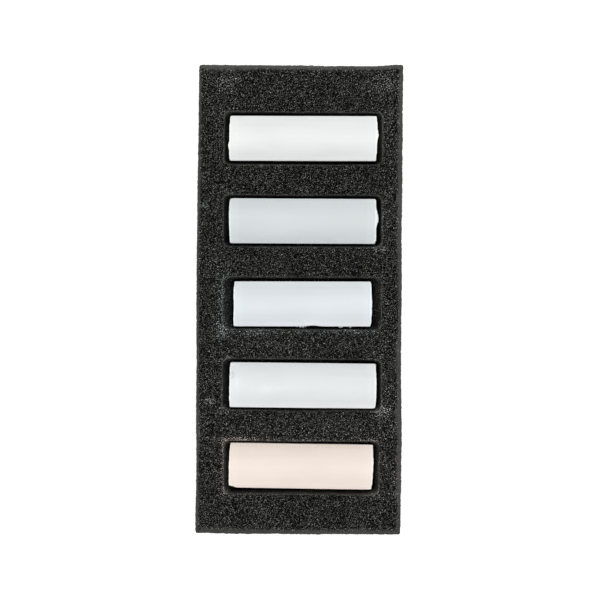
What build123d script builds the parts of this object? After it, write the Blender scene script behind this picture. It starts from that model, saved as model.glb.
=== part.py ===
from build123d import *
import os
from collections import namedtuple

# Five round pastel half-sticks lying side by side in a foam tray.
# The tray is two foam sheets laminated together: an upper sheet die-cut right
# through with five slots, and a plain lower sheet that closes them.
# Frame: millimetres, origin on the underside at the tray's centre, +X along the
# sticks, +Y along the tray from the last stick to the first, +Z up.

# Sticks. They are broken from longer ones by hand, so each has its own length.
stick_diameter = 10.8
stick_end_round = 0.4
nub_diameter = 4.8
nub_height = 0.55

# length: end to end.  along, across: how far it lies off the middle of its slot.
# turn: how far it is skewed in its slot, in degrees.  nub: it has a broken nub at +X.
Stick = namedtuple("Stick", "name length along across turn nub")
sticks = [
    Stick("white_stick", length=35.0, along=0.00, across=0.20, turn=0.25, nub=False),
    Stick("grey_stick", length=35.4, along=0.27, across=0.00, turn=0.10, nub=True),
    Stick("blue_white_stick", length=32.7, along=0.13, across=-0.25, turn=0.30, nub=False),
    Stick("pale_grey_stick", length=34.8, along=0.31, across=-0.16, turn=-0.20, nub=False),
    Stick("peach_stick", length=34.1, along=0.00, across=0.12, turn=-0.45, nub=False),
]

# Tray
tray_width = 48.6
tray_length = 111.4
slot_layer_thickness = 7.0
base_layer_thickness = 3.0
tray_corner_radius = 0.5

# Slots. One die cuts all five, to suit the longest stick.
slot_side_gap = 0.65
slot_end_gap = 1.05
slot_corner_radius = 1.8
slot_column_shift = 0.7
head_margin = 11.4
foot_margin = 9.8
crushed_edge_radius = 0.4

# A stick lies this far above the lower sheet.
seat_gap = 0.05

# A round never takes more than this part of the foam wall that it is cut in.
round_share_of_wall = 0.4

# Worked out from the sizes above
slot_width = stick_diameter + 2 * slot_side_gap
slot_length = max(stick.length for stick in sticks) + 2 * slot_end_gap
first_slot_y = tray_length / 2 - head_margin - slot_width / 2
last_slot_y = foot_margin + slot_width / 2 - tray_length / 2
slot_pitch = (first_slot_y - last_slot_y) / (len(sticks) - 1)
side_wall = (tray_width - slot_length) / 2 - abs(slot_column_shift)
thinnest_wall = min(side_wall, slot_pitch - slot_width, head_margin, foot_margin)
crushed_edge = min(crushed_edge_radius, round_share_of_wall * thinnest_wall)
stick_axis_z = base_layer_thickness + seat_gap + stick_diameter / 2


def slot_centre(index):
    """Middle of a slot in plan, counted from the +Y end of the tray."""
    return slot_column_shift, first_slot_y - index * slot_pitch


def foam_sheet(bottom_z, thickness):
    """A rectangular foam sheet with slightly rounded corners."""
    outline = RectangleRounded(tray_width, tray_length, tray_corner_radius)
    return Pos(0, 0, bottom_z) * extrude(outline, thickness)


def base_layer():
    """The plain lower sheet."""
    return foam_sheet(0, base_layer_thickness)


def slot_layer():
    """The upper sheet: five slots right through it, and crushed edges round its top face."""
    slots = Sketch()
    for index in range(len(sticks)):
        x, y = slot_centre(index)
        slots += Pos(x, y) * RectangleRounded(slot_length, slot_width, slot_corner_radius)
    cutter = Pos(0, 0, base_layer_thickness) * extrude(slots, slot_layer_thickness)
    sheet = foam_sheet(base_layer_thickness, slot_layer_thickness) - cutter
    top_face = sheet.faces().sort_by(Axis.Z)[-1]
    return fillet(top_face.edges(), crushed_edge)


def broken_nub(body_length):
    """A shallow dome left on the +X end where the stick was broken off."""
    dome_radius = (nub_diameter**2 / 4 + nub_height**2) / (2 * nub_height)
    tip_x = body_length / 2 + nub_height
    ball = Pos(tip_x - dome_radius, 0, 0) * Sphere(dome_radius)
    shank = Pos(body_length / 2, 0, 0) * Rot(0, 90, 0) * Cylinder(nub_diameter / 2, 2 * nub_height)
    return ball & shank


def stick_body(stick):
    """A round stick along X with softened ends, centred on the origin."""
    body_length = stick.length - (nub_height if stick.nub else 0)
    body = Rot(0, 90, 0) * Cylinder(stick_diameter / 2, body_length)
    body = fillet(body.edges().filter_by(GeomType.CIRCLE), stick_end_round)
    if stick.nub:
        body += broken_nub(body_length)
        body = Pos(-nub_height / 2, 0, 0) * body
    return body


def placed_stick(index, stick):
    """A stick lying in its slot."""
    x, y = slot_centre(index)
    place = Pos(x + stick.along, y + stick.across, stick_axis_z) * Rot(0, 0, stick.turn)
    return place * stick_body(stick)


os.makedirs("parts", exist_ok=True)
parts = {"foam_base_layer": base_layer(), "foam_slot_layer": slot_layer()}
for index, stick in enumerate(sticks):
    parts[stick.name] = placed_stick(index, stick)
for name, solid in parts.items():
    export_step(solid, f"parts/{name}.step")
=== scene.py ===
import math
from collections import namedtuple

import bmesh
import bpy
import numpy as np
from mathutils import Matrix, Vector


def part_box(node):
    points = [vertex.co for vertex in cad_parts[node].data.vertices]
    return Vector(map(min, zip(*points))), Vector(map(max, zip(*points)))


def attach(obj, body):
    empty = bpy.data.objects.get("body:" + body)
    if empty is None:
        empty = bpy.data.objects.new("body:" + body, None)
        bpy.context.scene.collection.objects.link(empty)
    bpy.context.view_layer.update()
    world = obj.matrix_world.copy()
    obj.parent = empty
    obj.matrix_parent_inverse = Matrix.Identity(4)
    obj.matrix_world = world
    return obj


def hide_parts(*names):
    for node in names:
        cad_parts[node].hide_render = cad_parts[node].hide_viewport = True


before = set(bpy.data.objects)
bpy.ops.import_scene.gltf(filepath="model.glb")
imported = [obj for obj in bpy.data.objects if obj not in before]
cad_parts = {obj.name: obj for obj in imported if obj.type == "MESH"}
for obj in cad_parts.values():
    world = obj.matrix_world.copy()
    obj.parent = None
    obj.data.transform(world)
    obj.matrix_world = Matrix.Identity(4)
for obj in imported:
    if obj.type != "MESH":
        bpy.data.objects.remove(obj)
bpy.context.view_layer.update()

# Five pale pastel half-sticks in a dark foam tray, seen from straight above.
# Meshes are worked out in millimetres and written in metres.
MM = 0.001


def add_object(name, data):
    """A new object in the scene."""
    thing = bpy.data.objects.new(name, data)
    bpy.context.scene.collection.objects.link(thing)
    return thing


# ---------------------------------------------------------------- camera
LENS = 150.0
SENSOR = 36.0
CLIP = (0.01, 10)  # metres
VIEW_WIDTH = 142.9  # mm of the tray's top face across the picture
VIEW_SHIFT = (0.18, -0.11)  # mm: the tray lies a little left of and above the middle
TRAY_LEAN = math.radians(0.41)


def make_camera(top_z):
    """A long lens looking straight down at the tray, which leans slightly clockwise."""
    data = bpy.data.cameras.new("camera")
    data.lens = LENS
    data.sensor_width = SENSOR
    data.clip_start, data.clip_end = CLIP
    camera = add_object("camera", data)
    distance = VIEW_WIDTH * LENS / SENSOR
    camera.location = Vector((*VIEW_SHIFT, top_z + distance)) * MM
    camera.rotation_euler = (0, 0, TRAY_LEAN)
    bpy.context.scene.camera = camera


# ---------------------------------------------------------------- noise
# Large odd numbers that scramble x, y, z and the seed, and then the bits of the result
SCRAMBLE_PLACE = (73856093, 19349663, 83492791, 49979687)
SCRAMBLE_BITS = ((13, 1274126177), (15, 668265263))
LOW_BITS = 0xFFFFFFFF


def lattice(ix, iy, iz, seed):
    """A repeatable random number from -1 to 1 for each whole-number point."""
    h = 0
    for number, factor in zip((ix, iy, iz, seed), SCRAMBLE_PLACE):
        h = h ^ (number * factor)
    for shift, factor in SCRAMBLE_BITS:
        h = ((h ^ (h >> shift)) * factor) & LOW_BITS
    return (h ^ (h >> 16)) / (LOW_BITS // 2) - 1


def noise(points, size, seed):
    """Smooth noise from about -1 to 1 with bumps about size across."""
    p = np.asarray(points, float) / size
    low = np.floor(p).astype(np.int64)
    t = p - low
    t = t * t * (3 - 2 * t)
    total = 0
    for corner in np.ndindex(2, 2, 2):
        weight = np.prod(np.where(corner, t, 1 - t), axis=1)
        total = total + weight * lattice(*(low + corner).T, seed)
    return total


def rough(points, size, seed, octaves=3):
    """Noise with finer and weaker noise added to it."""
    return sum(noise(points, size / 2**k, seed + k) / 2**k for k in range(octaves))


def smooth(low, high, value):
    """0 below low, 1 above high, and an easy curve between."""
    t = np.clip((value - low) / (high - low), 0, 1)
    return t * t * (3 - 2 * t)


def stacked(x, y, z=0.0):
    """Rows of (x, y, z)."""
    return np.stack([x, y, np.broadcast_to(z, np.shape(x))], 1)


# ---------------------------------------------------------------- what the frame says
Box = namedtuple("Box", "low high")
STICK_NODES = ["white_stick", "grey_stick", "blue_white_stick", "pale_grey_stick", "peach_stick"]


def node_box(node):
    """A CAD node's corners in millimetres."""
    low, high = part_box(node)
    return Box(np.array(low) / MM, np.array(high) / MM)


def node_points(node):
    """A CAD node's vertices in millimetres."""
    return np.array([v.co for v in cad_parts[node].data.vertices]) / MM


def slot_boxes(sheet):
    """The slots' outlines: the points of the slotted sheet's underside, away from its own rim."""
    rim = 0.5
    points = node_points("foam_slot_layer")
    inside = ((points > sheet.low + rim) & (points < sheet.high - rim))[:, :2].all(1)
    points = points[inside & (points[:, 2] < sheet.low[2] + rim)]
    middles = [sum(node_box(node))[1] / 2 for node in STICK_NODES]
    owner = np.argmin([abs(points[:, 1] - middle) for middle in middles], axis=0)
    return [Box(points[owner == k].min(0), points[owner == k].max(0)) for k in range(len(middles))]


slot_layer = node_box("foam_slot_layer")
base_layer = node_box("foam_base_layer")
slots = slot_boxes(slot_layer)
# mm that the last slot has closed up at its left and right ends
LAST_CLOSED = (0.33, 0.49)
# mm that the first slot has opened at its upper side, and the third and last at their lower ones
FIRST_OPENED = 0.25
THIRD_OPENED = 0.2
LAST_OPENED = 0.3
slots[-1].low[0] += LAST_CLOSED[0]
slots[-1].high[0] -= LAST_CLOSED[1]
slots[-1].low[1] -= LAST_OPENED
slots[2].low[1] -= THIRD_OPENED
slots[0].high[1] += FIRST_OPENED


# ---------------------------------------------------------------- meshes
def make_piece(name, points, faces, numbers=None, colours=None):
    """A smooth-shaded object from points in millimetres, with named numbers and colours at its points."""
    mesh = bpy.data.meshes.new(name)
    mesh.from_pydata((points * MM).tolist(), [], [face for group in faces for face in group.tolist()])
    mesh.validate()
    mesh.shade_smooth()
    for key, values in (numbers or {}).items():
        mesh.attributes.new(key, "FLOAT", "POINT").data.foreach_set("value", np.asarray(values, np.float32))
    for key, values in (colours or {}).items():
        layer = mesh.attributes.new(key, "FLOAT_COLOR", "POINT")
        layer.data.foreach_set("color", np.asarray(values, np.float32).ravel())
    return add_object(name, mesh)


# ---------------------------------------------------------------- foam
CELL = 0.31  # mm from one foam cell to the next
CELL_RANDOM = 0.8  # how unevenly the cells lie: 1 is fully random
CELL_DEPTH = 0.17  # mm
CELL_WALL = (0.03, 0.16)  # where a cell's side starts and ends, as a share of the cell
SLOT_GRID = 0.25  # mm between the points of the slotted sheet's top
BASE_GRID = 0.36  # mm, the same on the plain sheet

# Seen from above: the outer cut and the slots' cuts
EDGE_ROUND = 0.85  # mm: rounding of the crushed outer edges
RIM_ROUND = 0.5  # mm: the same round the slots
OUTER_CORNER = 0.4  # mm: corner radius of the tray
SLOT_CORNER = 1.3  # mm: corner radius of a slot
ARC_START = 1 - math.cos(math.pi / 4)
OUTER_SWELL = 0.22  # mm: the foam's skin stands this far out past its nominal cut
OUTER_SHIFT = 0.09  # mm: the outer cut lies this far towards -Y
WANDER = ((0.10, 14), (0.03, 2.6), (0.015, 0.9))  # how far every cut wanders, and over what length, in mm
RAGGED = (0.045, 0.8)  # mm: fine raggedness of the outer cut alone, and over what length
RAGGED_FADE = (-10, 10)  # mm along X: the left side is free of that raggedness
# A long side's bow: mm that it stands out, its middle and reach along Y, and mm that the rest is drawn in
Bow = namedtuple("Bow", "height middle reach rest")
LEFT_BOW = Bow(0.30, 3, 24, 0.12)
RIGHT_BOW = Bow(0.28, -38, 15, 0.02)
BOW_FULL = 24  # mm from the tray's middle line where a bow has its full height
UPPER_CURL = 0.42  # mm: how far the upper right corner stands up past a square cut
LOWER_CURL = 0.15  # mm: the same for the lower left corner
CURL_ZONE = (17, 23.5)  # mm from the tray's middle line where a curl starts and is full
WANDER_SEED, RAGGED_SEED, WALL_SEED = 11, 17, 31
BAND_SEEDS = (34, 33)  # for its width and its raggedness
OUTWARD_STEP = 0.02  # mm between the points that a cut's direction is taken from
SETTLE_STEPS = 4  # how many times the border is moved on to its line

# Down the walls
SIDE_ROWS = 12  # rows of points down a wall, below its rounded edge
ROW_SPREAD = 1.15  # above 1, the rows lie closer together near the rim
LOWER_ARC = (67.5, 90)  # degrees: the last rows of the rounded edge
SIDE_WAIST = 0.15  # mm: how far the tray's cut sides draw in, a little below half-way down
WAIST_TURN = 2.3  # radians of a sine wave from the top to the bottom of a cut side
WALL_ROUGH = ((0.03, 1.2), (0.05, 5))  # mm: how uneven the walls are, and over what length
END_CLEARANCE = 0.35  # mm: what a slot's end walls leave free when they have swollen
SIDE_DEPTH = 2.2  # mm below the rim where a slot's long walls are fully swollen
# Each slot's walls.  lower and upper: mm that the long walls swell towards the stick.
# end_depth: mm below the rim where the end walls are fully swollen.  crush: how smooth they are.
Walls = namedtuple("Walls", "lower upper end_depth crush")
slot_walls = [
    Walls(0.33, 0.33, 4.0, 0.8),
    Walls(0.33, 0.33, 4.0, 0.8),
    Walls(0.33, 0.33, 4.0, 0.4),
    Walls(0.33, 0.33, 4.0, 0.7),
    Walls(0.70, 0.33, 2.6, 0.8),
]

# OPEN: how open the cells are, from 0, crushed shut, to 1.  CRUSH: how smooth the die has pressed
# the foam, up to 1.  SHINE: how light the foam is where it is smooth: its own pressed tone, with painted
# light on the tray's outer bands and painted bounce light on the slots' walls.
EDGE_OPEN = 0.2  # on the pressed edges and rims
WALL_OPEN = 0.7  # on the slots' walls
FLOOR_OPEN = 0.9  # on the underside
FOOT_OPEN = 0.3  # where a wall meets its foot, as a share of what it has higher up
FOOT_ZONE = 0.5  # mm above the wall's foot
# WALL_TONE_AND_PAINTED_BOUNCE: the walls' pressed tone, raised as painted bounce light from the sticks and
# the foam.
WALL_TONE_AND_PAINTED_BOUNCE = 0.55
RIM_CRUSH = 0.6
RIM_SHINE = 1.3
RIM_WIDTH = 0.3  # mm: width of the pressed rim round a slot
# mm: width of the crushed band along the tray's left, right, lower and upper edges
BAND_WIDTHS = (0.8, 1.25, 1.6, 1.35)
# BAND_TONE_AND_PAINTED_LIGHT: how light each crushed band is: its own pressed tone, with painted light, each
# side lighter or darker as light falls on its rounded edge, the upper one most.
BAND_TONE_AND_PAINTED_LIGHT = (0.80, 0.92, 0.76, 1.08)
BAND_VARY = (0.35, 7)  # how much a band's width varies, and over how many mm
BAND_RAGGED = (0.2, 0.8)  # mm: how ragged its inner edge is, and over what length
BAND_OPENS = (0.6, 1.5)  # where the cells start to open and are open, in widths of the band
BAND_FADES = (1.4, 0.3)  # where the pressing starts to show and is full, in widths of the band
OPEN_BELOW = (0, 1.6)  # mm below the top where a wall's cells start to open and are open
CRUSH_BELOW = (1.6, 0.2)  # mm below the top where the tray's side stops being pressed, and where it fully is


def rectangle_distance(x, y, box, corner):
    """Distance outside a rounded rectangle, negative inside it."""
    middle, half = (box.low + box.high) / 2, (box.high - box.low) / 2
    qx = abs(x - middle[0]) - half[0] + corner
    qy = abs(y - middle[1]) - half[1] + corner
    outside = np.hypot(np.maximum(qx, 0), np.maximum(qy, 0))
    return outside + np.minimum(np.maximum(qx, qy), 0) - corner


def bowed(y, bow):
    """How far a long cut side stands out at y."""
    return bow.height * np.exp(-(((y - bow.middle) / bow.reach) ** 2)) - bow.rest


def side_bow(x, y):
    """How far the long cut sides bow along X: the left one at mid-length, the right one below it."""
    return x / BOW_FULL * np.where(x < 0, bowed(y, LEFT_BOW), bowed(y, RIGHT_BOW))


def end_bow(x, y):
    """How far the short cut sides bow along Y near one corner: the upper right, the lower left."""
    upper = UPPER_CURL * smooth(*CURL_ZONE, x)
    lower = LOWER_CURL * smooth(*CURL_ZONE, -x)
    return np.where(y > 0, upper, lower)


def depth_in_foam(x, y, outline, holes):
    """How far inside the foam's wavy cuts a point is, and which is nearest: 0 is the outer one."""
    place = stacked(x, y)
    wx = x - side_bow(x, y)
    wy = y
    for wave, (far, size) in enumerate(WANDER):
        seed = WANDER_SEED + 2 * wave
        wx = wx + far * noise(place, size, seed)
        wy = wy + far * noise(place, size, seed + 1)
    far, size = RAGGED
    outer_x = wx + far * smooth(*RAGGED_FADE, x) * noise(place, size, RAGGED_SEED)
    outer_y = wy + OUTER_SHIFT - end_bow(x, y) + far * noise(place, size, RAGGED_SEED + 1)
    edges = [OUTER_SWELL - rectangle_distance(outer_x, outer_y, outline, OUTER_CORNER)]
    edges += [rectangle_distance(wx, wy, hole, SLOT_CORNER) for hole in holes]
    return np.min(edges, axis=0), np.argmin(edges, axis=0)


def outward(x, y, outline, holes):
    """Unit direction out of the foam, in plan."""
    def depth(right, up):
        return depth_in_foam(x + right, y + up, outline, holes)[0]

    slope_x = depth(OUTWARD_STEP, 0) - depth(-OUTWARD_STEP, 0)
    slope_y = depth(0, OUTWARD_STEP) - depth(0, -OUTWARD_STEP)
    length = np.maximum(np.hypot(slope_x, slope_y), 1e-9)
    return -slope_x / length, -slope_y / length


def edge_round(edge):
    """The rounding of each point's nearest edge."""
    return np.where(edge == 0, EDGE_ROUND, RIM_ROUND)


def plan_grid(outline, holes, pitch):
    """Points and four-sided faces that fill the foam's plan up to where its edges start to round."""
    columns, rows = np.ceil((outline.high - outline.low)[:2] / pitch).astype(int) + 2
    first_x, first_y = outline.low[:2] - pitch
    i, j = np.meshgrid(np.arange(columns), np.arange(rows), indexing="ij")
    i, j = i.ravel(), j.ravel()
    middle_x, middle_y = first_x + (i + 0.5) * pitch, first_y + (j + 0.5) * pitch
    depth, edge = depth_in_foam(middle_x, middle_y, outline, holes)
    kept = depth > ARC_START * edge_round(edge)
    corner = (i * (rows + 1) + j)[kept]
    faces = np.stack([corner, corner + rows + 1, corner + rows + 2, corner + 1], 1)
    used, faces = np.unique(faces, return_inverse=True)
    x = first_x + (used // (rows + 1)) * pitch
    y = first_y + (used % (rows + 1)) * pitch
    return x, y, faces.reshape(-1, 4)


def border_loops(faces):
    """Each border as an ordered loop of points, with the foam on its left."""
    edges = set(zip(faces.ravel().tolist(), np.roll(faces, -1, axis=1).ravel().tolist()))
    following = {a: b for a, b in sorted(edges) if (b, a) not in edges}
    loops = []
    while following:
        loop = [min(following)]
        while loop[-1] in following:
            loop.append(following.pop(loop[-1]))
        loops.append(np.array(loop[:-1]))
    return loops


def wall_profile(top, bottom, rounding):
    """Rows down a cut wall as (distance in from the outline, height), from the rounded edge on."""
    profile = []
    for angle in LOWER_ARC:
        turn = math.radians(angle)
        profile.append((rounding * (1 - math.sin(turn)), top - rounding * (1 - math.cos(turn))))
    for share in np.linspace(0, 1, SIDE_ROWS)[1:] ** ROW_SPREAD:
        profile.append((0, top - rounding + (bottom - top + rounding) * share))
    return profile


def share_along(value, low, high):
    """0 at the low wall and its corner, 1 at the high wall and its corner, and even between."""
    return np.clip((value - low - SLOT_CORNER) / (high - low - 2 * SLOT_CORNER), 0, 1)


def slot_closing(x, y, hole, stick, walls, drop):
    """How far a slot's wall moves, this far below the rim, as its foam swells towards the stick."""
    gaps = (stick.low[0] - hole.low[0], hole.high[0] - stick.high[0])
    left, right = np.maximum(gaps, END_CLEARANCE) - END_CLEARANCE
    along = share_along(x, hole.low[0], hole.high[0])
    across = share_along(y, hole.low[1], hole.high[1])
    shift_x = smooth(0, walls.end_depth, drop) * (left * (1 - along) - right * along)
    shift_y = smooth(0, SIDE_DEPTH, drop) * (walls.lower * (1 - across) - walls.upper * across)
    return shift_x, shift_y


def nearest_side(x, y, outline):
    """Which edge of the tray a point is nearest to: 0 left, 1 right, 2 lower, 3 upper."""
    low, high = outline
    return np.argmin([x - low[0], high[0] - x, y - low[1], high[1] - y], axis=0)


class FoamMesh:
    """A foam sheet's points, with three numbers at each point, and its faces.

    open runs from 0, where the cells are crushed shut, to 1, where they are cut clean open.
    crush is 1 where the die has pressed the foam smooth, and shine is how light it is there: its pressed
    tone, with painted light on the outer bands and painted bounce light on the slots' walls.
    """

    def __init__(self, outline, holes, top, bottom):
        self.outline, self.holes, self.top, self.bottom = outline, holes, top, bottom
        self.points, self.faces, self.count = [], [], 0
        self.numbers = {"open": [], "crush": [], "shine": []}

    def add(self, points, **numbers):
        """Adds points and gives back their places in the list."""
        self.points.append(points)
        for key, value in numbers.items():
            self.numbers[key].append(np.broadcast_to(value, len(points)))
        self.count += len(points)
        return np.arange(self.count - len(points), self.count)

    def join(self, upper, lower):
        """Faces between two rows of points that run round the same border."""
        self.faces.append(np.stack([np.roll(upper, -1), upper, lower, np.roll(lower, -1)], 1))

    def settle(self, x, y, border):
        """Moves the border's points, in place, on to the line where its edge starts to round."""
        for _ in range(SETTLE_STEPS):
            depth, edge = depth_in_foam(x[border], y[border], self.outline, self.holes)
            gap = depth - ARC_START * edge_round(edge)
            out_x, out_y = outward(x[border], y[border], self.outline, self.holes)
            x[border] += out_x * gap
            y[border] += out_y * gap

    def add_top(self, x, y, faces):
        """The cut face with the first part of its rounded edges.  Gives back edge and shine, the pressed
        tone with its painted light.
        """
        depth, edge = depth_in_foam(x, y, self.outline, self.holes)
        rounding = edge_round(edge)
        inset = rounding - np.clip(depth, 0, rounding)
        drop = rounding - np.sqrt(rounding**2 - inset**2)
        points = stacked(x, y, self.top - drop)
        is_outer = edge == 0
        side = nearest_side(x, y, self.outline)
        band = np.where(is_outer, np.choose(side, BAND_WIDTHS), RIM_WIDTH)
        band = band * (1 + BAND_VARY[0] * noise(points, BAND_VARY[1], BAND_SEEDS[0]))
        inside = depth + BAND_RAGGED[0] * noise(points, BAND_RAGGED[1], BAND_SEEDS[1])
        opened = smooth(BAND_OPENS[0] * band, BAND_OPENS[1] * band, inside)
        pressed = smooth(BAND_FADES[0] * band, BAND_FADES[1] * band, inside)
        # Painted light: the outer bands are lighter or darker side by side, as light falls on their rounded
        # edges.
        shine = np.where(is_outer, np.choose(side, BAND_TONE_AND_PAINTED_LIGHT), RIM_SHINE)
        crush = np.where(is_outer, 1, RIM_CRUSH) * pressed
        self.add(points, open=EDGE_OPEN + (1 - EDGE_OPEN) * opened, crush=crush, shine=shine)
        self.faces.append(faces)
        return edge, shine

    def wall_move(self, place, height, inward, curve, is_outer):
        """How far a row of a wall stands out from the line where its edge starts to round."""
        move = ARC_START * curve - inward
        for wave, (far, size) in enumerate(WALL_ROUGH):
            move = move + far * noise(place, size, WALL_SEED + wave)
        if is_outer:
            turn = WAIST_TURN * (self.top - height) / (self.top - self.bottom)
            move = move - SIDE_WAIST * math.sin(turn)
        return move

    def add_wall(self, loop, x, y, slot, top_tone_and_painted_light):
        """The wall below a border, of the tray where slot is below 0.  Gives back its lowest row."""
        is_outer = slot < 0
        curve = EDGE_ROUND if is_outer else RIM_ROUND
        out_x, out_y = outward(x, y, self.outline, self.holes)
        above = loop
        for inward, height in wall_profile(self.top, self.bottom, curve):
            drop = self.top - height
            move = self.wall_move(stacked(x, y, height), height, inward, curve, is_outer)
            if is_outer:
                shift_x, shift_y = 0, 0
                # The tray's outer sides take their band's tone with its painted light.
                full, crush, shine = 1, smooth(*CRUSH_BELOW, drop), top_tone_and_painted_light
            else:
                walls = slot_walls[slot]
                stick = node_box(STICK_NODES[slot])
                shift_x, shift_y = slot_closing(x, y, self.holes[slot], stick, walls, drop)
                # The slots' walls: pressed tone with painted bounce light.
                full, crush, shine = WALL_OPEN, walls.crush, WALL_TONE_AND_PAINTED_BOUNCE
            opened = EDGE_OPEN + (full - EDGE_OPEN) * smooth(*OPEN_BELOW, drop)
            opened = opened * (FOOT_OPEN + (1 - FOOT_OPEN) * smooth(0, FOOT_ZONE, height - self.bottom))
            points = stacked(x + shift_x + out_x * move, y + shift_y + out_y * move, height)
            row = self.add(points, open=opened, crush=crush, shine=shine)
            self.join(above, row)
            above = row
        return above

    def add_underside(self, x, y, faces, loops, lowest):
        """The flat underside of a sheet without holes."""
        under = self.add(stacked(x, y, self.bottom), open=FLOOR_OPEN, crush=0.0, shine=1.0)
        self.faces.append(under[faces[:, ::-1]])
        for loop, above in zip(loops, lowest):
            self.join(above, under[loop])


def foam_surface(outline, holes, top, bottom, pitch, has_floor):
    """A foam sheet before its cells are sunk: points, faces and numbers at the points."""
    sheet = FoamMesh(outline, holes, top, bottom)
    x, y, faces = plan_grid(outline, holes, pitch)
    loops = border_loops(faces)
    sheet.settle(x, y, np.concatenate(loops))
    edge, shine = sheet.add_top(x, y, faces)
    lowest = [sheet.add_wall(loop, x[loop], y[loop], edge[loop[0]] - 1, shine[loop]) for loop in loops]
    if has_floor:
        sheet.add_underside(x, y, faces, loops, lowest)
    numbers = {key: np.concatenate(parts) for key, parts in sheet.numbers.items()}
    return np.concatenate(sheet.points), sheet.faces, numbers


def cap_underside(piece):
    """Closes the slotted sheet's hidden underside with flat triangles."""
    shape = bmesh.new()
    shape.from_mesh(piece.data)
    rim = [edge for edge in shape.edges if edge.is_boundary]
    made = bmesh.ops.triangle_fill(shape, edges=rim, use_beauty=True, normal=(0, 0, -1))["geom"]
    for face in made:
        if isinstance(face, bmesh.types.BMFace):
            face.smooth = False
            if face.normal.z > 0:
                face.normal_flip()
    shape.to_mesh(piece.data)
    shape.free()


def sink_cells(piece):
    """Sinks open cells into the foam, by the same cell pattern that its material uses."""
    tree = bpy.data.node_groups.new("open_cells", "GeometryNodeTree")
    tree.interface.new_socket("Geometry", in_out="INPUT", socket_type="NodeSocketGeometry")
    tree.interface.new_socket("Geometry", in_out="OUTPUT", socket_type="NodeSocketGeometry")
    n = Nodes(tree, "GeometryNodeInputPosition", "Position")
    start, end = n.add("NodeGroupInput"), n.add("NodeGroupOutput")
    openness = n.add("GeometryNodeInputNamedAttribute", data_type="FLOAT")
    n.put(openness.inputs["Name"], "open")
    depth = n.span(n.cells(CELL), *CELL_WALL, 0.0, -CELL_DEPTH * MM)
    depth = n.math("MULTIPLY", depth, openness.outputs["Attribute"])
    move = n.add("ShaderNodeVectorMath", operation="SCALE")
    n.put(move.inputs[0], n.add("GeometryNodeInputNormal").outputs["Normal"])
    n.put(move.inputs["Scale"], depth)
    sink = n.add("GeometryNodeSetPosition")
    n.put(sink.inputs["Geometry"], start.outputs["Geometry"])
    n.put(sink.inputs["Offset"], move.outputs["Vector"])
    n.put(end.inputs["Geometry"], sink.outputs["Geometry"])
    modifier = piece.modifiers.new("open_cells", "NODES")
    modifier.node_group = tree
    graph = bpy.context.evaluated_depsgraph_get()
    plain = piece.data
    piece.data = bpy.data.meshes.new_from_object(piece.evaluated_get(graph), depsgraph=graph)
    piece.data.name = piece.name
    piece.modifiers.clear()
    bpy.data.meshes.remove(plain)
    bpy.data.node_groups.remove(tree)


# ---------------------------------------------------------------- pastel dust on the foam, and painted reflected light in the last slot
WHITE_DUST = (0.74, 0.76, 0.74)
BLUE_DUST = (0.70, 0.75, 0.75)
PEACH_DUST_AND_REFLECTION = (0.82, 0.70, 0.60)
LOOSE_DUST = 0.012  # amount of dust all over the foam
# In the last slot this film also carries painted reflected light.
DUST_FILM = (0.012, 0.10)  # share of the colour that a film of dust takes, on open and on pressed foam

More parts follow.
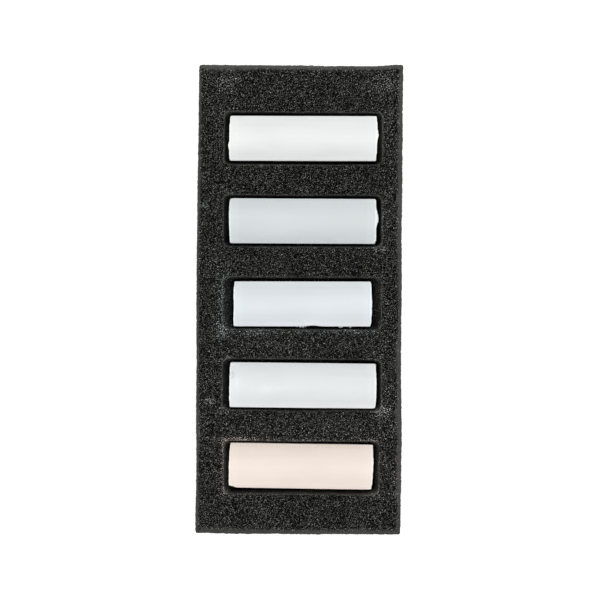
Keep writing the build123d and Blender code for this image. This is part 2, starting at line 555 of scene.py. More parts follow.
# box: the slot, or -1 for the tray.  corner: which corner of it the dust lies by, as signs
# of x and y.  offset and reach are in mm.
DustAndReflection = namedtuple("DustAndReflection", "box corner offset reach amount tint")
dust_and_reflection_spots = [
    DustAndReflection(-1, (-1, 1), (7.2, -4.0), (3.0, 2.0), 0.52, WHITE_DUST),
    DustAndReflection(-1, (1, 1), (-5.0, -4.2), (4.2, 2.2), 0.44, WHITE_DUST),
    DustAndReflection(-1, (1, 1), (-3.5, -14.0), (3.0, 7.0), 0.16, WHITE_DUST),
    DustAndReflection(-1, (-1, 1), (1.6, -33.5), (0.9, 0.7), 0.70, WHITE_DUST),
    DustAndReflection(-1, (1, -1), (-3.0, 32.0), (2.5, 8.0), 0.20, WHITE_DUST),
    DustAndReflection(0, (-1, 1), (0.2, -0.4), (1.6, 1.2), 0.25, WHITE_DUST),
    DustAndReflection(1, (1, -1), (-0.6, -0.2), (1.8, 1.2), 0.40, WHITE_DUST),
    DustAndReflection(1, (1, 1), (0.6, -7.0), (1.4, 1.8), 0.30, WHITE_DUST),
    DustAndReflection(2, (-1, 0), (0.0, 0.0), (3.0, 6.5), 0.12, BLUE_DUST),
    # Painted reflected light: over the whole last slot, a faint peach film stands for the peach stick's
    # light bounced on to its shadowed walls, with a little real dust.
    DustAndReflection(4, (0, 0), (0.0, 0.0), (20.0, 6.5), 0.22, PEACH_DUST_AND_REFLECTION),
    DustAndReflection(2, (-1, -1), (-0.4, -0.4), (1.7, 2.4), 0.56, BLUE_DUST),
    DustAndReflection(2, (-1, 1), (-0.4, -4.6), (0.8, 4.4), 0.32, BLUE_DUST),
    DustAndReflection(2, (-1, 1), (0.4, 0.5), (1.2, 0.8), 0.42, BLUE_DUST),
    DustAndReflection(2, (-1, -1), (7.5, -0.9), (4.0, 0.9), 0.50, BLUE_DUST),
    DustAndReflection(2, (1, -1), (-5.0, -0.4), (5.0, 0.7), 0.35, BLUE_DUST),
    DustAndReflection(3, (-1, 1), (0.3, 0.4), (1.5, 1.2), 0.36, WHITE_DUST),
    DustAndReflection(3, (-1, -1), (-0.2, -0.2), (1.9, 1.3), 0.50, WHITE_DUST),
    DustAndReflection(3, (-1, -1), (-3.4, 2.0), (1.2, 0.9), 0.55, WHITE_DUST),
    DustAndReflection(3, (1, -1), (0.2, 0.0), (1.8, 1.6), 0.62, WHITE_DUST),
    DustAndReflection(3, (1, 1), (-1.0, 0.4), (1.8, 0.9), 0.30, WHITE_DUST),
    DustAndReflection(4, (-1, 1), (4.0, 0.3), (5.0, 0.7), 0.75, PEACH_DUST_AND_REFLECTION),
    DustAndReflection(4, (-1, 1), (-0.2, -1.0), (0.8, 2.0), 0.30, PEACH_DUST_AND_REFLECTION),
    DustAndReflection(4, (-1, 0), (-0.3, 0.0), (0.5, 5.0), 0.40, PEACH_DUST_AND_REFLECTION),
    DustAndReflection(4, (0, 1), (0.0, 0.3), (14.0, 0.5), 0.30, PEACH_DUST_AND_REFLECTION),
    DustAndReflection(4, (0, 1), (0.0, 3.2), (20.0, 2.2), 0.14, WHITE_DUST),
    DustAndReflection(3, (0, 1), (0.0, 3.2), (20.0, 2.2), 0.10, WHITE_DUST),
    DustAndReflection(2, (0, -1), (0.0, -0.5), (12.0, 0.5), 0.35, BLUE_DUST),
    DustAndReflection(4, (1, 1), (-1.6, 0.3), (2.4, 0.8), 0.45, PEACH_DUST_AND_REFLECTION),
    DustAndReflection(4, (1, 1), (0.5, -5.0), (0.8, 3.4), 0.15, PEACH_DUST_AND_REFLECTION),
    DustAndReflection(4, (-1, -1), (0.2, 0.4), (1.0, 1.2), 0.42, PEACH_DUST_AND_REFLECTION),
    DustAndReflection(4, (1, -1), (-1.0, 0.0), (2.0, 1.0), 0.40, PEACH_DUST_AND_REFLECTION),
]


def dust_and_reflection_colours(points):
    """The tint of the pastel powder, and of the painted reflected light in the last slot, at each point,
    with its amount as alpha.
    """
    total = np.full(len(points), LOOSE_DUST)
    tint = np.outer(total, WHITE_DUST)
    for spot in dust_and_reflection_spots:
        box = slot_layer if spot.box < 0 else slots[spot.box]
        middle, half = (box.low + box.high) / 2, (box.high - box.low) / 2
        centre = middle[:2] + half[:2] * spot.corner + spot.offset
        away = (points[:, :2] - centre) / spot.reach
        amount = spot.amount * np.exp(-(away**2).sum(1))
        total += amount
        tint += np.outer(amount, spot.tint)
    return np.column_stack([tint / np.maximum(total, 1e-6)[:, None], np.clip(total, 0, 1)])


def foam_piece(name, box, holes, pitch, has_floor):
    """A foam sheet with open cells, standing for the CAD sheet of the same name."""
    points, groups, numbers = foam_surface(box, holes, box.high[2], box.low[2], pitch, has_floor)
    piece = make_piece(name + "_cells", points, groups, numbers, {"dust": dust_and_reflection_colours(points)})
    if not has_floor:
        cap_underside(piece)
    sink_cells(piece)
    piece.data.materials.append(foam_material())
    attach(piece, "tray")
    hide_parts(name)
    return piece


# ---------------------------------------------------------------- materials
class Nodes:
    """A short way to build a node tree."""

    def __init__(self, tree, place_kind, place_output):
        self.nodes, self.links = tree.nodes, tree.links
        self.place = self.add(place_kind).outputs[place_output]

    def add(self, kind, **settings):
        """A node with its own settings."""
        node = self.nodes.new(kind)
        for key, value in settings.items():
            setattr(node, key, value)
        return node

    def put(self, socket, value):
        """Links an output to a socket, or sets the socket's own value."""
        if isinstance(value, bpy.types.NodeSocket):
            self.links.new(value, socket)
        else:
            socket.default_value = value

    def stretched(self, scale):
        """The place on the object, stretched along its axes."""
        node = self.add("ShaderNodeMapping")
        self.put(node.inputs["Vector"], self.place)
        self.put(node.inputs["Scale"], scale)
        return node.outputs["Vector"]

    def noise(self, size, detail=3.0, roughness=0.55, vector=None):
        """Noise with features about size mm across."""
        node = self.add("ShaderNodeTexNoise")
        self.put(node.inputs["Vector"], vector or self.place)
        self.put(node.inputs["Scale"], 1 / (size * MM))
        self.put(node.inputs["Detail"], detail)
        self.put(node.inputs["Roughness"], roughness)
        return node.outputs["Fac"]

    def cells(self, size, feature="DISTANCE_TO_EDGE"):
        """Distance to the nearest cell wall, or with F1 to the nearest cell's middle."""
        node = self.add("ShaderNodeTexVoronoi", feature=feature)
        self.put(node.inputs["Vector"], self.place)
        self.put(node.inputs["Scale"], 1 / (size * MM))
        self.put(node.inputs["Randomness"], CELL_RANDOM)
        return node.outputs["Distance"]

    def span(self, value, low, high, to_low=0.0, to_high=1.0):
        """The value carried smoothly from one range to another."""
        node = self.add("ShaderNodeMapRange", interpolation_type="SMOOTHSTEP")
        for socket, number in zip(node.inputs, (value, low, high, to_low, to_high)):
            self.put(socket, number)
        return node.outputs["Result"]

    def math(self, operation, a, b):
        """Arithmetic on two values."""
        node = self.add("ShaderNodeMath", operation=operation)
        self.put(node.inputs[0], a)
        self.put(node.inputs[1], b)
        return node.outputs["Value"]

    def mixed(self, share, a, b):
        """Two values mixed."""
        node = self.add("ShaderNodeMix", data_type="FLOAT")
        for socket, value in zip(node.inputs[:1] + node.inputs[2:4], (share, a, b)):
            self.put(socket, value)
        return node.outputs[0]

    def mix(self, share, a, b, blend="MIX"):
        """Two colours mixed."""
        node = self.add("ShaderNodeMix", data_type="RGBA", blend_type=blend)
        for socket, value in ((node.inputs[0], share), (node.inputs[6], a), (node.inputs[7], b)):
            self.put(socket, (*value, 1.0) if isinstance(value, tuple) else value)
        return node.outputs[2]

    def attribute(self, name, output="Fac"):
        """A value stored at the mesh's points."""
        return self.add("ShaderNodeAttribute", attribute_name=name).outputs[output]

    def bump(self, height, depth, normal=None):
        """Small relief, depth mm deep."""
        node = self.add("ShaderNodeBump")
        self.put(node.inputs["Distance"], depth * MM)
        self.put(node.inputs["Height"], height)
        if normal is not None:
            self.put(node.inputs["Normal"], normal)
        return node.outputs["Normal"]


class Shader(Nodes):
    """A material with its nodes."""

    def __init__(self, name):
        self.material = bpy.data.materials.new(name)
        self.material.use_nodes = True
        super().__init__(self.material.node_tree, "ShaderNodeTexCoord", "Object")
        self.surface = self.nodes["Principled BSDF"]


FOAM_STRUT = (0.0062, 0.0065, 0.0061)
# FOAM_HOLE_PAINTED_SHADE: painted shade, near black, that stands for the shadow inside the open cells.
FOAM_HOLE_PAINTED_SHADE = (0.0012, 0.0013, 0.0012)
FOAM_CRUSHED = (0.064, 0.065, 0.060)
FOAM_ROUGHNESS = 0.62
FOAM_SPECULAR = 0.015
FOAM_RELIEF = 0.10  # mm
# Sizes are mm across.  A span is (from low, from high, to low, to high).
OPEN_SPAN = (0.2, 0.9, 0.1, 1.0)
TONE_SIZE, TONE_SPAN = 6.0, (0.3, 0.7, 0.88, 1.12)
# Painted glints: the struts' fine speckle is partly their own uneven tone and partly painted glints; the
# knots, where cells meet, are painted glints.
SPECKLE_AND_GLINT_SIZE, SPECKLE_AND_GLINT_SPAN = 0.13, (0.53, 0.78, 0.03, 12.5)
KNOT_GLINT_SPAN = (0.40, 0.66, 0.05, 6.0)
FLECK_SIZE = 0.23
FLECK_EDGE = 0.77  # noise above this carries dust, where there is next to none
FLECK_GAIN = 0.25  # how much that falls where the amount of dust is 1
FLECK_SOFT = 0.05
FLECK_IN_HOLE = 0.6  # how much less dust the cells' holes catch
DUST_ROUGHNESS = 0.3  # how much rougher dust is


def foam_material():
    """Charcoal open-cell foam: holes in painted shade, in a net of grey struts with painted glints, with
    pastel powder caught on it and painted reflected light in the last slot.
    """
    known = bpy.data.materials.get("charcoal_foam")
    if known:
        return known
    s = Shader("charcoal_foam")
    openness = s.attribute("open")
    wall = s.cells(CELL)
    hole = s.math("MULTIPLY", s.span(wall, *CELL_WALL), s.span(openness, *OPEN_SPAN))
    tone = s.span(s.noise(TONE_SIZE), *TONE_SPAN)
    # Painted glints: speckle and knots lighten the struts' colour where light would glint on them.
    grain = s.span(s.noise(SPECKLE_AND_GLINT_SIZE, detail=0.0), *SPECKLE_AND_GLINT_SPAN)
    knot_glints = s.span(s.cells(CELL, "F1"), *KNOT_GLINT_SPAN)
    strut = s.mix(1.0, FOAM_STRUT, s.math("MULTIPLY", grain, knot_glints), "MULTIPLY")
    # Pressed foam: its tone times shine, which holds painted light on the outer bands and painted bounce
    # light on the walls.
    pressed = s.mix(1.0, FOAM_CRUSHED, s.attribute("shine"), "MULTIPLY")
    lit = s.mix(1.0, s.mix(s.attribute("crush"), strut, pressed), tone, "MULTIPLY")
    # The cells' holes take the painted shade colour.
    foam = s.mix(hole, lit, FOAM_HOLE_PAINTED_SHADE)
    dust = s.attribute("dust", "Color")
    amount = s.attribute("dust", "Alpha")
    fleck = s.noise(FLECK_SIZE, detail=0.0)
    edge = s.math("SUBTRACT", FLECK_EDGE, s.math("MULTIPLY", amount, FLECK_GAIN))
    caught = s.span(s.math("SUBTRACT", fleck, edge), 0.0, FLECK_SOFT)
    shut = s.math("SUBTRACT", 1.0, s.math("MULTIPLY", hole, FLECK_IN_HOLE))
    caught = s.math("MULTIPLY", caught, shut)
    crush = s.attribute("crush")
    loose = s.math("SUBTRACT", 1.0, s.math("MULTIPLY", crush, crush))
    caught = s.math("MULTIPLY", caught, loose)
    # The film of dust; in the last slot it is painted reflected light too.
    film = s.mixed(crush, *DUST_FILM)
    caught = s.math("ADD", caught, s.math("MULTIPLY", amount, film))
    rougher = s.math("MULTIPLY", caught, DUST_ROUGHNESS)
    s.put(s.surface.inputs["Base Color"], s.mix(caught, foam, dust))
    s.put(s.surface.inputs["Roughness"], s.math("ADD", FOAM_ROUGHNESS, rougher))
    s.put(s.surface.inputs["Specular IOR Level"], FOAM_SPECULAR)
    s.put(s.surface.inputs["Normal"], s.bump(s.math("SUBTRACT", fleck, hole), FOAM_RELIEF))
    return s.material


# ---------------------------------------------------------------- sticks
STICK_STEP = 0.22  # mm between a stick's points
END_ROUND = 0.28  # mm: rounding of a stick's end edges
NUB = 0.5  # mm: a lump higher than this is the nub that the CAD stick has too

# An end of a stick: dome and slope in mm over its radius, then lumps and chips.
# A lump is (y, z, reach, height) on the end face, a chip is (angle, reach, depth) on its edge:
# 90 is up and 0 is +Y.
End = namedtuple("End", "dome slope lumps chips")
FACE_ZONE = (3, 0.5)  # END_ROUNDs from the end where its breaking starts to show, and is full
# EDGE_HIGHLIGHT_ZONE: a painted highlight, a paler band along the stick's end edge.
EDGE_HIGHLIGHT_ZONE = (1.4, 0.3)  # the same for the paler look of its edge
FACE_ROUGH = ((0.09, 2.2, 0), (0.05, 0.5, 5))  # mm: unevenness, over what length; added to the seed
LUMP_SHAPE = 0.8  # lumps reach further up and down than sideways
LUMP_RAGGED = (0.12, 0.6)  # how ragged a lump's outline is, as a share of its reach, and over how many mm
CHIP_SHAPE = (1, 1, 0.6)  # chips reach further up and down than sideways
CHIP_RAGGED = (0.25, 0.5)  # the same for a chip
CHIP_FULL = 0.1  # share of its reach where a chip is at its full depth
# A mark on a stick's side: mm along from its middle, angle, reach along and around, and
# strength: above 0 for pale scuffs, below 0 for grey ones.
Mark = namedtuple("Mark", "along angle reach strength")
Look = namedtuple("Look", "left right marks seed")
# A shallow bite out of one stick's flank: a mark whose strength is its depth in mm.
dents = {"blue_white_stick": [Mark(2.5, 172, (1.5, 1.8), 0.24)]}
looks = {
    "white_stick": Look(
        End(0.08, -0.05, [(-1.9, 3.8, 1.4, 0.26)], [(20, 0.9, 0.12)]),
        End(0.10, 0.08, [(0.6, 3.4, 1.7, 0.36)], [(150, 0.9, 0.12), (60, 0.5, 0.12)]),
        [Mark(-15, 100, (3.0, 4.0), 0.12), Mark(0, 160, (30, 1.0), 0.15), Mark(0, 20, (30, 0.9), -0.10)],
        41,
    ),
    "grey_stick": Look(
        End(0.22, 0.08, [], [(15, 1.2, 0.22), (120, 0.5, 0.12)]),
        End(0.05, 0.02, [(0.6, 2.4, 2.9, 0.58)], [(165, 1.1, 0.16)]),
        [Mark(0, 22, (30, 1.1), -0.22), Mark(0, 152, (30, 1.3), -0.20), Mark(-9, 75, (6, 1.2), 0.08)],
        42,
    ),
    "blue_white_stick": Look(
        End(0.02, -0.05, [], [(100, 0.4, 0.10)]),
        End(0.22, 0.00, [], [(165, 0.7, 0.12), (30, 0.6, 0.10)]),
        [Mark(0, 158, (30, 1.1), 0.30), Mark(2.2, 148, (2.6, 1.8), 0.35), Mark(0, 155, (30, 0.6), -0.15)],
        43,
    ),
    "pale_grey_stick": Look(
        End(0.10, -0.03, [], [(20, 1.3, 0.22), (62, 0.9, 0.25)]),
        End(0.15, -0.04, [], [(165, 1.1, 0.14)]),
        [
            # A darker grey patch over the chip by the upper left end.
            Mark(-16.8, 62, (0.7, 1.0), -0.55),
            Mark(-15.4, 84, (0.9, 2.6), 0.20),
            Mark(-8.7, 102, (1.7, 1.0), 0.20),
            Mark(-6.5, 96, (6.0, 0.7), 0.16),
            Mark(0, 158, (30, 1.0), 0.30),
            Mark(0, 25, (30, 1.0), -0.12),
        ],
        44,
    ),
    "peach_stick": Look(
        End(0.08, -0.05, [], [(180, 2.0, 0.72), (15, 0.8, 0.14)]),
        End(0.16, 0.06, [], [(160, 1.3, 0.20), (60, 0.5, 0.10)]),
        [Mark(0, 24, (30, 1.0), -0.30), Mark(0, 158, (30, 0.8), -0.16), Mark(-11, 90, (5, 3), 0.10)],
        45,
    ),
}
END_ZONE = (2.4, 1.8)  # mm from a stick's end where its handled, paler zone begins and is full
END_SCUFF = 0.12  # how pale that zone is
SKIN_SINK = 0.02  # mm: the skin lies this far inside the CAD stick
# The skin's relief: mm deep, mm across, its scale along the stick, and a number added to the seed
SKIN_RELIEF = ((0.003, 0.7, 0.03, 0), (0.0018, 0.3, 0.06, 1), (0.02, 9, 1, 2), (0.005, 0.45, 1, 3))
ARC_POINTS = 5  # points round a stick's end edge


def stick_profile(half, radius):
    """(along, out) from the middle of the left end face to the middle of the right one."""
    face = np.arange(STICK_STEP, radius - END_ROUND, STICK_STEP)
    turn = np.linspace(0, math.pi / 2, ARC_POINTS)
    body = np.linspace(-half + END_ROUND, half - END_ROUND, int(2 * half / STICK_STEP))[1:-1]
    arc_along = -half + END_ROUND * (1 - np.sin(turn))
    arc_out = radius - END_ROUND + END_ROUND * np.cos(turn)
    left_face = np.stack([np.full(len(face), -half), face], 1)
    left = np.concatenate([left_face, np.stack([arc_along, arc_out], 1)[::-1]])
    right = left[::-1] * (-1, 1)
    return np.concatenate([left, np.stack([body, np.full(len(body), radius)], 1), right])


def near_end(x, sign, half, zone):
    """0 away from an end of a stick, 1 at it."""
    return smooth(half - zone[0] * END_ROUND, half - zone[1] * END_ROUND, sign * x)


def end_push(y, z, end, on_face, radius, seed):
    """How far an end's broken face stands out: its dome, slope, grain and lumps."""
    across = stacked(y, z, float(seed))
    out = np.hypot(y, z)
    push = end.dome * (1 - np.minimum(out / radius, 1) ** 2) - 0.5 * end.dome
    push = push + end.slope * y / radius
    grain = sum(deep * rough(across, size, seed + more) for deep, size, more in FACE_ROUGH)
    push = push + on_face * grain
    for lump_y, lump_z, reach, height in end.lumps:
        away = np.hypot(y - lump_y, (z - lump_z) * LUMP_SHAPE) / reach
        away = away + LUMP_RAGGED[0] * noise(across, LUMP_RAGGED[1], seed + 9)
        push = push + height * smooth(1, 0, away)
    return push


def shape_end(points, end, sign, half, radius, seed):
    """Breaks one end of a stick, and gives back at each point how far it takes the paler colour of the
    break, which also paints a highlight along the end edge.
    """
    x, y, z = points.T
    near = near_end(x, sign, half, FACE_ZONE)
    on_face = smooth(radius, radius - END_ROUND, np.hypot(y, z)) * near
    # The end edge gets a painted highlight, a paler band, beside the paler broken face.
    broken = np.maximum(on_face, near_end(x, sign, half, EDGE_HIGHLIGHT_ZONE))
    x = x + sign * near * end_push(y, z, end, on_face, radius, seed)
    ragged = CHIP_RAGGED[0] * noise(points, CHIP_RAGGED[1], seed + 11)
    for angle, reach, depth in end.chips:
        turn = math.radians(angle)
        centre = np.array([sign * half, radius * math.cos(turn), radius * math.sin(turn)])
        away = (np.stack([x, y, z], 1) - centre) * CHIP_SHAPE
        bite = smooth(1, CHIP_FULL, np.linalg.norm(away, axis=1) / reach + ragged)
        x = x - sign * depth * bite
        y = y * (1 - depth * bite / radius)
        z = z * (1 - depth * bite / radius)
        broken = np.maximum(broken, bite)
    return np.stack([x, y, z], 1), broken


def marked(along, around, radius, marks):
    """The marks' strengths added up at each point of a stick."""
    total = 0
    for mark in marks:
        reach_along, reach_around = mark.reach
        off_around = radius * (around - math.radians(mark.angle)) / reach_around
        off = np.hypot((along - mark.along) / reach_along, off_around)
        total = total + mark.strength * np.exp(-(off**2))
    return total


def scuffs(along, around, radius, half, marks):
    """How scuffed each point of a stick is: above 0 pale, below 0 grey. The ends are a little paler."""
    ends = END_SCUFF * smooth(half - END_ZONE[0], half - END_ZONE[1], abs(along))
    return ends + marked(along, around, radius, marks)


def stick_place(cad):
    """Where a CAD stick lies: its middle, its skew, its radius and half its length."""
    middle = (cad.min(0) + cad.max(0)) / 2
    left = cad[cad[:, 0] < middle[0]].mean(0)
    right = cad[cad[:, 0] > middle[0]].mean(0)
    turn = math.atan2(right[1] - left[1], right[0] - left[0])
    radius = (cad[:, 2].max() - cad[:, 2].min()) / 2
    half = (cad[:, 0].max() - cad[:, 0].min() - abs(2 * radius * math.sin(turn))) / 2
    return middle, turn, radius, half


def skin_relief(points, seed):
    """How far the skin stands out at each point: fine streaks on broad, shallow lumps."""
    total = 0
    for deep, size, scale, more in SKIN_RELIEF:
        total = total + deep * noise(points * (scale, 1, 1), size, seed + more)
    return total


def stick_faces(rows, columns):
    """The faces of rows of points round a stick, closed by the first and the last point."""
    rings = 1 + np.arange(rows * columns).reshape(rows, columns)
    left, right = rings[:-1], rings[1:]
    sides = np.stack([left, np.roll(left, -1, 1), np.roll(right, -1, 1), right], 2)
    first, last = np.zeros(columns, int), np.full(columns, rows * columns + 1)
    left_fan = np.stack([first, np.roll(rings[0], -1), rings[0]], 1)
    right_fan = np.stack([last, rings[-1], np.roll(rings[-1], -1)], 1)
    return [sides.reshape(-1, 4)[:, ::-1], left_fan[:, ::-1], right_fan[:, ::-1]]


def pastel_piece(node):
    """A pastel half-stick with streaks from its making and ends that break, with a painted highlight along
    their end edges, standing for the CAD stick.
    """
    look = looks[node]
    middle, turn, radius, half = stick_place(node_points(node))
    nub = max((lump[3] for lump in look.right.lumps if lump[3] > NUB), default=0)
    half = half - nub / 2
    profile = stick_profile(half, radius)
    columns = int(2 * math.pi * radius / STICK_STEP)
    angle = np.arange(columns) * 2 * math.pi / columns
    # The first and last points are the middles of the end faces.
    along = np.concatenate([[-half], np.repeat(profile[:, 0], columns), [half]])
    out = np.concatenate([[0], np.repeat(profile[:, 1], columns), [0]])
    around = np.concatenate([[0], np.tile(angle, len(profile)), [0]])
    points = np.stack([along, out * np.cos(around), out * np.sin(around)], 1)
    skin = skin_relief(points, look.seed) - SKIN_SINK
    skin = skin - marked(along, around, radius, dents.get(node, []))
    points[:, 1:] *= (1 + skin / radius)[:, None]
    scuff = scuffs(along, around, radius, half, look.marks)
    points, left = shape_end(points, look.left, -1, half, radius, look.seed + 10)
    points, right = shape_end(points, look.right, 1, half, radius, look.seed + 30)
    points[:, 0] -= nub / 2
    cos, sin = math.cos(turn), math.sin(turn)
    points = points @ np.array([[cos, sin, 0], [-sin, cos, 0], [0, 0, 1]]) + middle
    numbers = {"broken": np.maximum(left, right), "scuff": scuff}
    piece = make_piece(node + "_pastel", points, stick_faces(len(profile), columns), numbers)
    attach(piece, node)
    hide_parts(node)
    return piece


# broken: the colour of pale scuffs, fresh breaks and the painted highlight along the end edges.  scuffed:
# the colour of darker scuffs.
Tint = namedtuple("Tint", "body broken scuffed")
tints = {
    "white_stick": Tint((0.782, 0.800, 0.794), (0.93, 0.95, 0.94), (0.42, 0.47, 0.45)),
    "grey_stick": Tint((0.668, 0.700, 0.704), (0.84, 0.88, 0.88), (0.36, 0.40, 0.43)),
    "blue_white_stick": Tint((0.722, 0.757, 0.775), (0.88, 0.93, 0.95), (0.42, 0.46, 0.48)),
    "pale_grey_stick": Tint((0.752, 0.772, 0.774), (0.91, 0.93, 0.93), (0.38, 0.36, 0.40)),
    "peach_stick": Tint((0.822, 0.747, 0.692), (0.95, 0.90, 0.84), (0.56, 0.42, 0.32)),
}
PASTEL_DIFFUSE_ROUGHNESS = 0.9
PASTEL_SPECULAR = 0.18
STREAK_DEPTH = 0.006  # mm
CHALK_DEPTH = 0.012  # mm
# Sizes and spans, as for the foam
STREAK_SIZE, STREAK_SHADE = 0.8, (0.3, 0.7, 0.994, 1.008)
CHALK_SIZE, CHALK_SHADE = 0.12, (0.25, 0.75, 0.98, 1.015)
BLOTCH_SIZE, BLOTCH_SHADE = 5.0, (0.3, 0.7, 0.985, 1.012)
RUB_SIZE, RUB_PALE, RUB_DARK = 0.35, (0.40, 0.60, 0.3, 1.3), (0.42, 0.60, 1.2, 0.2)
SMUDGE_SIZE, SMUDGE = 1.6, (0.66, 0.80, 0.0, 0.06)
PASTEL_ROUGHNESS = (0.3, 0.7, 0.86, 0.96)


def pastel_slot(node):
    """The name of a stick's material slot in the record."""
    return node.replace("_stick", "_pastel")


def pastel_material(node):
    """Chalky pastel: faint streaks, fine grain, grey and pale scuffs, brighter ends where they break, with a
    painted highlight along their end edges.
    """
    tint = tints[node]
    s = Shader(pastel_slot(node))
    streak = s.noise(STREAK_SIZE, detail=4.0, vector=s.stretched((0.03, 1, 1)))
    grain = s.noise(CHALK_SIZE, detail=3.0, roughness=0.7)
    blotch = s.noise(BLOTCH_SIZE, detail=2.0, vector=s.stretched((0.5, 1, 1)))
    shade = s.math("MULTIPLY", s.span(blotch, *BLOTCH_SHADE), s.span(grain, *CHALK_SHADE))
    shade = s.math("MULTIPLY", shade, s.span(streak, *STREAK_SHADE))
    body = s.mix(1.0, tint.body, shade, "MULTIPLY")
    scuff = s.attribute("scuff")
    rub = s.noise(RUB_SIZE, detail=3.0, roughness=0.75, vector=s.stretched((1, 0.4, 0.4)))
    pale = s.math("MULTIPLY", s.math("MAXIMUM", scuff, 0.0), s.span(rub, *RUB_PALE))
    dark = s.math("MAXIMUM", s.math("MULTIPLY", scuff, -1.0), 0.0)
    dark = s.math("MULTIPLY", dark, s.span(rub, *RUB_DARK))
    smudge = s.span(s.noise(SMUDGE_SIZE, detail=5.0, roughness=0.7), *SMUDGE)
    # Broken ends and pale scuffs take the paler colour, and so does the painted highlight along the end
    # edges.
    body = s.mix(s.math("MAXIMUM", s.attribute("broken"), pale), body, tint.broken)
    body = s.mix(s.math("ADD", smudge, dark), body, tint.scuffed)
    s.put(s.surface.inputs["Base Color"], body)
    s.put(s.surface.inputs["Roughness"], s.span(grain, *PASTEL_ROUGHNESS))
    s.put(s.surface.inputs["Diffuse Roughness"], PASTEL_DIFFUSE_ROUGHNESS)
    s.put(s.surface.inputs["Specular IOR Level"], PASTEL_SPECULAR)
    relief = s.bump(streak, STREAK_DEPTH)
    s.put(s.surface.inputs["Normal"], s.bump(grain, CHALK_DEPTH, relief))
    return s.material


# ---------------------------------------------------------------- crumbs
# Crumbs cling to the -Y flank of one stick.  along: mm from the tray's middle, spread: mm
# each way, size: mm across, turn: degrees round the stick, where 180 is its -Y side.
Crumbs = namedtuple("Crumbs", "along spread count size turn")
crumb_groups = [
    Crumbs(0.4, 1.4, 16, (0.12, 0.34), (158, 178)),
    Crumbs(0.7, 0.5, 7, (0.26, 0.50), (170, 182)),
    Crumbs(-3.0, 5.0, 9, (0.08, 0.20), (150, 176)),
    Crumbs(10.0, 0.6, 8, (0.25, 0.48), (168, 183)),
    Crumbs(12.2, 0.2, 4, (0.28, 0.45), (170, 183)),
    Crumbs(8.0, 4.5, 10, (0.08, 0.22), (152, 178)),
]
CRUMB_SEED = 71
CRUMB_LUMPS = (0.35, 0.8)  # how lumpy a crumb is, and over how much of its size
CRUMB_STRETCH = (0.6, 1.2)
CRUMB_LIFT = 0.25  # how far a crumb's middle stands off the stick, in its own radii
CRUMB_BROKEN = 0.4  # how far its colour is that of a fresh break


def crumbs_on(node, seed):
    """Crumbs that cling to a stick where it was rubbed, and lift with it."""
    dice = np.random.default_rng(seed)
    cad = node_box(node)
    middle, radius = (cad.low + cad.high) / 2, (cad.high - cad.low)[2] / 2
    ball = bmesh.new()
    bmesh.ops.create_icosphere(ball, subdivisions=2, radius=1)
    shape = np.array([v.co for v in ball.verts])
    faces = np.array([[v.index for v in face.verts] for face in ball.faces])
    ball.free()
    points, groups = [], []
    for group in crumb_groups:
        for _ in range(group.count):
            size = dice.uniform(*group.size) / 2
            turn = math.radians(dice.uniform(*group.turn))
            lumps = 1 + CRUMB_LUMPS[0] * noise(shape + 7 * len(points), CRUMB_LUMPS[1], seed)
            lump = shape * size * dice.uniform(*CRUMB_STRETCH, 3) * lumps[:, None]
            reach = radius + CRUMB_LIFT * size
            across, up = reach * math.cos(turn), reach * math.sin(turn)
            x = group.along + dice.uniform(-group.spread, group.spread)
            groups.append(faces + len(points) * len(shape))
            points.append(lump + (x, middle[1] + across, middle[2] + up))
    count = len(points) * len(shape)
    numbers = {"broken": np.full(count, CRUMB_BROKEN), "scuff": np.zeros(count)}
    piece = make_piece(node + "_crumbs", np.concatenate(points), groups, numbers)
    piece.data.materials.append(bpy.data.materials[pastel_slot(node)])
    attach(piece, node)
    return piece


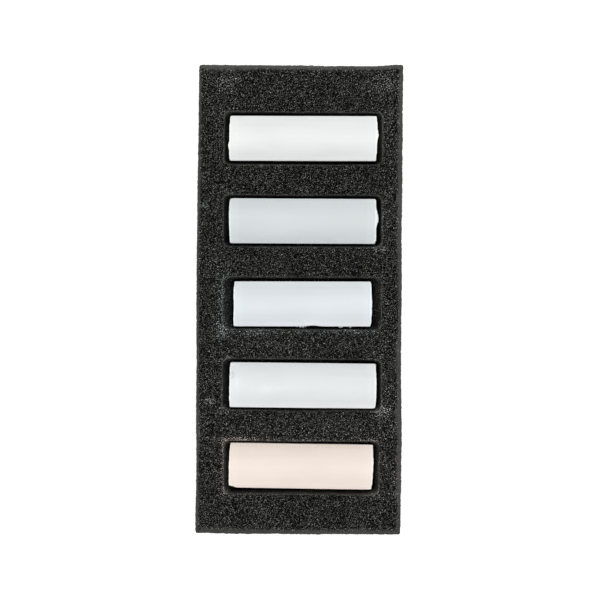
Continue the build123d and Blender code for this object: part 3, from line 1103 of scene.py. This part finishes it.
# ---------------------------------------------------------------- floor and light
FLOOR_HALF = 2.0  # metres
FLOOR_DROP = 0.0002  # metres that it lies below the tray
FLOOR_GLOW = 0.45
WORLD_STRENGTH = 0.56
SOFTBOX_SIZE = 0.7  # metres
SOFTBOX_POWER = 5.45  # watts
SOFTBOX_PLACES = {"upper_softbox": (0, 0.75, 0.62), "lower_softbox": (0, -0.75, 0.62)}


def make_floor():
    """A plain pale floor under the tray. It glows faintly, as the photograph's white ground does."""
    mesh = bpy.data.meshes.new("floor")
    corners = [(-1, -1, 0), (1, -1, 0), (1, 1, 0), (-1, 1, 0)]
    mesh.from_pydata([Vector(corner) * FLOOR_HALF for corner in corners], [], [(0, 1, 2, 3)])
    floor = add_object("floor", mesh)
    floor.location.z = -FLOOR_DROP
    s = Shader("pale_floor")
    s.put(s.surface.inputs["Base Color"], (0.93, 0.93, 0.93, 1))
    s.put(s.surface.inputs["Roughness"], 0.9)
    s.put(s.surface.inputs["Specular IOR Level"], 0.0)
    s.put(s.surface.inputs["Emission Color"], (1, 1, 1, 1))
    s.put(s.surface.inputs["Emission Strength"], FLOOR_GLOW)
    mesh.materials.append(s.material)


def softbox(name, place):
    """A square soft light aimed at the tray."""
    data = bpy.data.lights.new(name, "AREA")
    data.size = SOFTBOX_SIZE
    data.energy = SOFTBOX_POWER
    light = add_object(name, data)
    light.location = place
    light.rotation_euler = Vector(place).to_track_quat("Z", "Y").to_euler()


def make_light():
    """A bright even studio: white surroundings with a softbox over each end of the tray."""
    world = bpy.data.worlds.new("studio")
    world.use_nodes = True
    background = world.node_tree.nodes["Background"]
    background.inputs["Color"].default_value = (1.0, 1.0, 1.0, 1)
    background.inputs["Strength"].default_value = WORLD_STRENGTH
    bpy.context.scene.world = world
    for name, place in SOFTBOX_PLACES.items():
        softbox(name, place)
    bpy.context.scene.view_settings.view_transform = "Standard"
    bpy.context.scene.view_settings.look = "None"


# ---------------------------------------------------------------- the scene
make_camera(slot_layer.high[2])
make_light()
make_floor()
foam_piece("foam_slot_layer", slot_layer, slots, SLOT_GRID, has_floor=False)
foam_piece("foam_base_layer", base_layer, [], BASE_GRID, has_floor=True)
for node in STICK_NODES:
    stick = pastel_piece(node)
    stick.data.materials.append(pastel_material(node))
crumbs_on("blue_white_stick", CRUMB_SEED)
